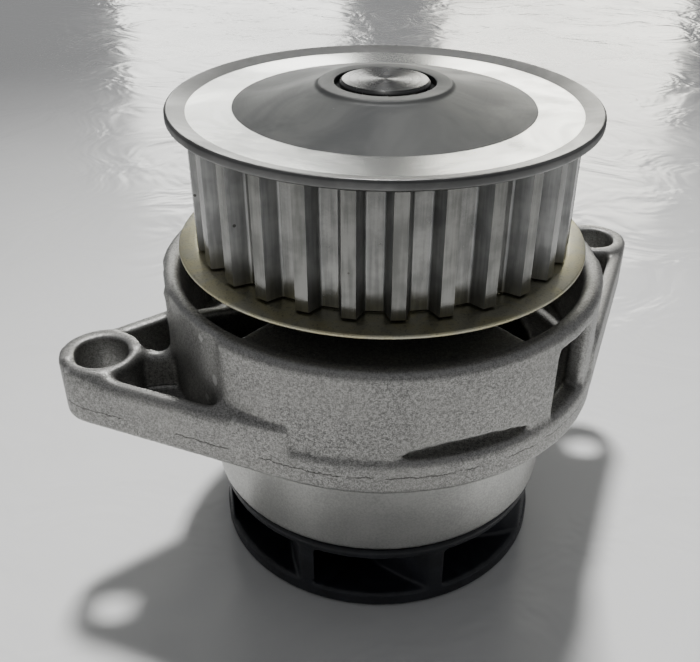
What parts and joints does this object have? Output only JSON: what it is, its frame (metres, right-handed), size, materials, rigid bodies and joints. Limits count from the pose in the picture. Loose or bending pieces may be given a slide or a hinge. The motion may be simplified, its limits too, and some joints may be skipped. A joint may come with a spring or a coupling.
{
  "type": "water pump",
  "caption": "Engine coolant pump: toothed-belt pulley on a bearing shaft, die-cast housing with fixing ears, and a closed plastic impeller below.",
  "frame": {"origin": "centre of the shaft's impeller-end face, on the pump axis, in the plane that the impeller stands on", "axes": "+Z along the pump axis towards the pulley; -Y is the pump's front, +X to its right"},
  "size_m": [0.1163, 0.086, 0.0953],
  "materials": {
    "cast_aluminium": "die-cast, fine sand-like grain",
    "turned_steel": "turned",
    "yellow_zinc": "zinc plated, yellowish",
    "ground_steel": "ground",
    "bearing_steel": "ground",
    "black_rubber": "matt",
    "cage_nylon": "moulded",
    "seal_carbon": "lapped",
    "seat_ceramic": "lapped",
    "stainless": "pressed",
    "brass": "turned",
    "impeller_plastic": "moulded"
  },
  "bodies": {
    "housing": {"housing": "cast_aluminium", "bearing_outer_ring": "bearing_steel", "bearing_seal_upper": "black_rubber", "bearing_seal_lower": "black_rubber", "seal_cup": "stainless"},
    "rotor": {"shaft": "ground_steel", "pulley": "turned_steel", "pulley_lower_flange": "yellow_zinc", "seal_seat_ring": "seat_ceramic", "seal_seat_collar": "black_rubber", "impeller_insert": "brass", "impeller": "impeller_plastic"},
    "ball_cage": {"ball_cage": "cage_nylon", "ball_1": "ground_steel", "ball_2": "ground_steel", "ball_3": "ground_steel", "ball_4": "ground_steel", "ball_5": "ground_steel", "ball_6": "ground_steel", "ball_7": "ground_steel", "ball_8": "ground_steel"},
    "roller_cage": {"roller_cage": "cage_nylon", "roller_1": "ground_steel", "roller_2": "ground_steel", "roller_3": "ground_steel", "roller_4": "ground_steel", "roller_5": "ground_steel", "roller_6": "ground_steel", "roller_7": "ground_steel", "roller_8": "ground_steel", "roller_9": "ground_steel", "roller_10": "ground_steel"},
    "seal_face": {"seal_carbon_ring": "seal_carbon", "seal_spring_carrier": "stainless", "seal_bellows": "black_rubber", "seal_spring": "stainless"}
  },
  "joints": [
    {"name": "rotor_spin", "type": "hinge", "parent": "housing", "child": "rotor", "pos_m": [0, 0, 0.0375], "axis": [0, 0, 1], "continuous": true},
    {"name": "ball_cage_spin", "type": "hinge", "parent": "housing", "child": "ball_cage", "pos_m": [0, 0, 0.0669], "axis": [0, 0, 1], "continuous": true},
    {"name": "roller_cage_spin", "type": "hinge", "parent": "housing", "child": "roller_cage", "pos_m": [0, 0, 0.048], "axis": [0, 0, 1], "continuous": true},
    {"name": "seal_face_slide", "type": "slide", "parent": "housing", "child": "seal_face", "axis": [0, 0, 1], "range_m": [0, 0.0008], "stiffness_N_per_m": 300, "springref_m": -0.002, "deforming": ["seal_spring", "seal_bellows"]}
  ],
  "couplings": [
    {"joint": "ball_cage_spin", "follows": "rotor_spin", "ratio": 0.3607},
    {"joint": "roller_cage_spin", "follows": "rotor_spin", "ratio": 0.4025}
  ]
}
